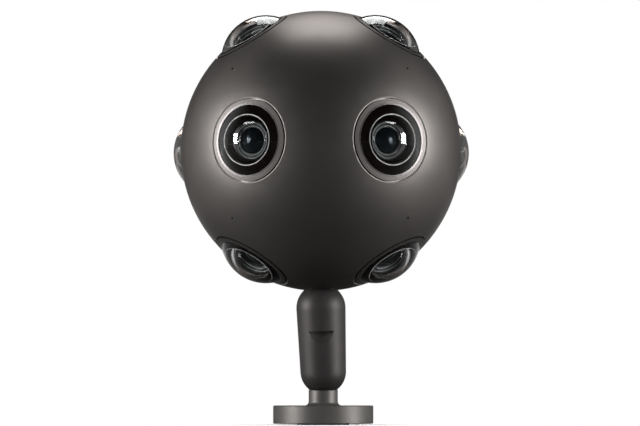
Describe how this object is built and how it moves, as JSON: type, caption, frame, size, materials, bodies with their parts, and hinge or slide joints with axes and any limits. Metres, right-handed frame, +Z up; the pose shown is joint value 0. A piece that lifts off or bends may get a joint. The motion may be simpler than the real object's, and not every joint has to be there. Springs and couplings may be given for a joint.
{
  "type": "360 degree camera",
  "caption": "Ball-shaped panoramic camera with domed wide-angle lenses all round and a tapered tail, on a short double-ball clamp arm with a round threaded foot.",
  "frame": {"origin": "on the foot's axis, in the plane of the rubber pad's underside, at the mouth of the stand thread", "axes": "+Z up along the foot's axis; the two front lenses face -Y and the tail points to +Y; +X to the right seen from the front"},
  "size_m": [0.1701, 0.264, 0.2357],
  "materials": {
    "head_metal": "dark warm grey satin",
    "ring_metal": "dark satin with a polished inner bevel",
    "arm_metal": "dark satin",
    "base_metal": "grey satin",
    "inner_metal": "machined",
    "barrel_metal": "black matte",
    "lens_glass": "coated glass",
    "steel": "ground",
    "bronze": "machined",
    "pad": "matte",
    "board": "circuit board",
    "contact_housing": "moulded",
    "light_pipe": "clear",
    "button": "matte",
    "pack": "matte",
    "drive": "bead blasted"
  },
  "bodies": {
    "base": {"base_foot": "base_metal", "base_pad": "pad", "lower_ball_stud": "steel"},
    "lower_cup": {"lower_pressure_cup": "bronze"},
    "arm": {"arm_front_half": "arm_metal", "arm_rear_half": "arm_metal", "arm_screws": "steel"},
    "knob": {"clamp_knob": "arm_metal"},
    "wedge": {"clamp_wedge": "bronze"},
    "lower_rod": {"lower_push_rod": "steel"},
    "upper_rod": {"upper_push_rod": "steel"},
    "upper_cup": {"upper_pressure_cup": "bronze"},
    "head": {"front_shell": "head_metal", "rear_shell": "head_metal", "chassis": "inner_metal", "main_board": "board", "heat_spreader": "inner_metal", "shell_screws": "steel", "mount_bush": "steel", "bush_screws": "steel", "upper_ball_stud": "steel", "power_inlet": "contact_housing", "video_output": "bronze", "data_socket": "steel", "status_light": "light_pipe", "bay_connector": "contact_housing", "button_switches": "contact_housing", "inner_elements": "lens_glass", "sensor_boards": "board", "microphones": "contact_housing", "front_left_trim_ring": "ring_metal", "front_left_front_element": "lens_glass", "front_left_barrel": "barrel_metal", "front_right_trim_ring": "ring_metal", "front_right_front_element": "lens_glass", "front_right_barrel": "barrel_metal", "side_left_trim_ring": "ring_metal", "side_left_front_element": "lens_glass", "side_left_barrel": "barrel_metal", "side_right_trim_ring": "ring_metal", "side_right_front_element": "lens_glass", "side_right_barrel": "barrel_metal", "upper_left_trim_ring": "ring_metal", "upper_left_front_element": "lens_glass", "upper_left_barrel": "barrel_metal", "upper_right_trim_ring": "ring_metal", "upper_right_front_element": "lens_glass", "upper_right_barrel": "barrel_metal", "lower_left_trim_ring": "ring_metal", "lower_left_front_element": "lens_glass", "lower_left_barrel": "barrel_metal", "lower_right_trim_ring": "ring_metal", "lower_right_front_element": "lens_glass", "lower_right_barrel": "barrel_metal"},
    "power_button": {"power_button": "button"},
    "record_button": {"record_button": "button"},
    "cartridge": {"cartridge_case": "head_metal", "battery_pack": "pack", "storage_drive": "drive"}
  },
  "joints": [
    {"name": "lower_pan", "type": "hinge", "parent": "base", "child": "lower_cup", "pos_m": [0, 0, 0.0301], "axis": [0, 0, 1], "continuous": true},
    {"name": "lower_tilt", "type": "hinge", "parent": "lower_cup", "child": "arm", "pos_m": [0, 0, 0.0301], "axis": [0.9401, -0.3409, 0], "range_deg": [-17.8, 6.1]},
    {"name": "upper_tilt", "type": "hinge", "parent": "arm", "child": "upper_cup", "pos_m": [-0.00126, -0.00347, 0.06611], "axis": [0.9401, -0.3409, 0], "range_deg": [-6.1, 17.8]},
    {"name": "upper_pan", "type": "hinge", "parent": "upper_cup", "child": "head", "pos_m": [-0.00126, -0.00347, 0.06611], "axis": [0, 0, 1], "continuous": true},
    {"name": "clamp_turn", "type": "hinge", "parent": "arm", "child": "knob", "pos_m": [-0.00062, -0.00171, 0.04786], "axis": [0, 0.9954, 0.0958], "range_deg": [0, 720]},
    {"name": "wedge_slide", "type": "slide", "parent": "arm", "child": "wedge", "axis": [0, -0.9954, -0.0958], "range_m": [0, 0.002]},
    {"name": "lower_rod_slide", "type": "slide", "parent": "arm", "child": "lower_rod", "axis": [-0.0347, -0.0958, 0.9948], "range_m": [0, 0.00024]},
    {"name": "upper_rod_slide", "type": "slide", "parent": "arm", "child": "upper_rod", "axis": [0.0347, 0.0958, -0.9948], "range_m": [0, 0.00024]},
    {"name": "power_press", "type": "slide", "parent": "head", "child": "power_button", "axis": [0, -0.0872, -0.9962], "range_m": [0, 0.0008], "stiffness_N_per_m": 500, "springref_m": -0.0004},
    {"name": "record_press", "type": "slide", "parent": "head", "child": "record_button", "axis": [0, -0.0872, -0.9962], "range_m": [0, 0.0008], "stiffness_N_per_m": 500, "springref_m": -0.0004},
    {"name": "cartridge_slide", "type": "slide", "parent": "head", "child": "cartridge", "axis": [0, 1, 0], "range_m": [0, 0.056]}
  ],
  "couplings": [
    {"joint": "clamp_turn", "follows": "wedge_slide", "rad_per_m": 6283.2},
    {"joint": "lower_rod_slide", "follows": "wedge_slide", "ratio": 0.12},
    {"joint": "upper_rod_slide", "follows": "wedge_slide", "ratio": 0.12}
  ]
}
